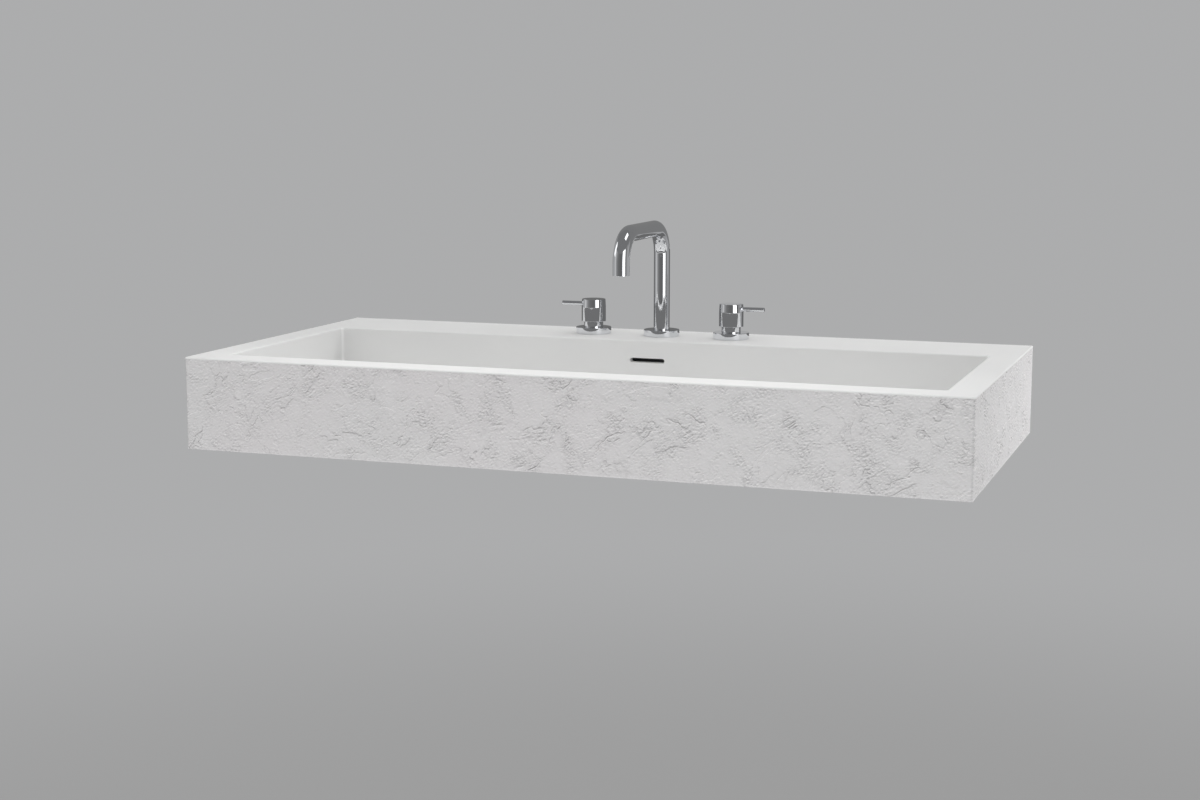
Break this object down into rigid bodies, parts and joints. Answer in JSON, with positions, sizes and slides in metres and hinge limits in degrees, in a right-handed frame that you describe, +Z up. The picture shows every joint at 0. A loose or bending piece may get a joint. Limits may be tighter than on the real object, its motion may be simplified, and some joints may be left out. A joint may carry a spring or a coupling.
{
  "type": "wall-mounted sink",
  "caption": "Wide wall-hung trough sink: a long white bowl behind textured stone-look aprons, with a right-angled swivel spout and quarter-turn lever handles on the rear deck.",
  "frame": {"origin": "centre of the four wall bolts, on the wall plane", "axes": "+X to the right along the wall, +Y into the wall, +Z up; the front faces -Y"},
  "size_m": [1.016, 0.495, 0.321],
  "materials": {
    "white_solid_surface": "fine matt white cast resin and mineral",
    "textured_apron": "pale grey cast stone relief with fine ridges, cracks and pits",
    "polished_chrome": "mirror polished plating",
    "plain_brass": "machined, uncoated",
    "copper_pipe": "drawn tube, lightly tarnished",
    "grey_steel": "grey powder coat on pressed steel",
    "bright_steel": "stainless, lightly brushed",
    "black_rubber": "moulded, dull",
    "white_plastic": "moulded, slightly rough",
    "dark_plastic": "moulded, dull black"
  },
  "bodies": {
    "sink": {"basin": "white_solid_surface", "apron_front": "textured_apron", "apron_left": "textured_apron", "apron_right": "textured_apron", "support_blocks": "white_solid_surface", "overflow_duct": "dark_plastic", "bracket_left": "grey_steel", "bracket_right": "grey_steel", "bracket_screws": "bright_steel", "threaded_inserts": "plain_brass", "drain_body": "polished_chrome", "drain_upper_seal": "black_rubber", "drain_lower_seal": "black_rubber", "drain_washer": "white_plastic", "drain_nut": "plain_brass", "spout_flange": "polished_chrome", "spout_shank": "plain_brass", "spout_gasket": "black_rubber", "spout_rubber_washer": "black_rubber", "spout_steel_washer": "bright_steel", "spout_nut": "plain_brass", "mixing_tee": "plain_brass", "pipe_left": "copper_pipe", "pipe_right": "copper_pipe", "pipe_nuts": "plain_brass", "valve_body_left": "plain_brass", "valve_body_right": "plain_brass", "cartridge_left": "white_plastic", "cartridge_right": "white_plastic", "gland_left": "plain_brass", "gland_right": "plain_brass", "collar_left": "polished_chrome", "collar_right": "polished_chrome", "flange_left": "polished_chrome", "flange_right": "polished_chrome", "valve_gaskets": "black_rubber", "valve_rubber_washers": "black_rubber", "valve_steel_washers": "bright_steel", "valve_nuts": "plain_brass"},
    "spout": {"spout_tube": "polished_chrome", "spout_stem": "plain_brass", "spout_sealing_rings": "black_rubber", "spout_clip": "bright_steel", "aerator_housing": "polished_chrome", "aerator_insert": "white_plastic"},
    "hot_handle": {"handle_left": "polished_chrome", "lever_left": "polished_chrome", "spindle_left": "plain_brass", "grub_screw_left": "bright_steel"},
    "cold_handle": {"handle_right": "polished_chrome", "lever_right": "polished_chrome", "spindle_right": "plain_brass", "grub_screw_right": "bright_steel"},
    "plug": {"plug_cap": "polished_chrome", "plug_seal": "black_rubber", "plug_stem": "plain_brass"}
  },
  "joints": [
    {"name": "spout_swivel", "type": "hinge", "parent": "sink", "child": "spout", "pos_m": [0, -0.062, 0.056], "axis": [0, 0, 1], "range_deg": [-60, 60]},
    {"name": "hot_turn", "type": "hinge", "parent": "sink", "child": "hot_handle", "pos_m": [-0.1016, -0.062, 0.056], "axis": [0, 0, 1], "range_deg": [0, 90]},
    {"name": "cold_turn", "type": "hinge", "parent": "sink", "child": "cold_handle", "pos_m": [0.1016, -0.062, 0.056], "axis": [0, 0, 1], "range_deg": [-90, 0]},
    {"name": "plug_lift", "type": "slide", "parent": "sink", "child": "plug", "axis": [0, 0, 1], "range_m": [0, 0.008]}
  ]
}
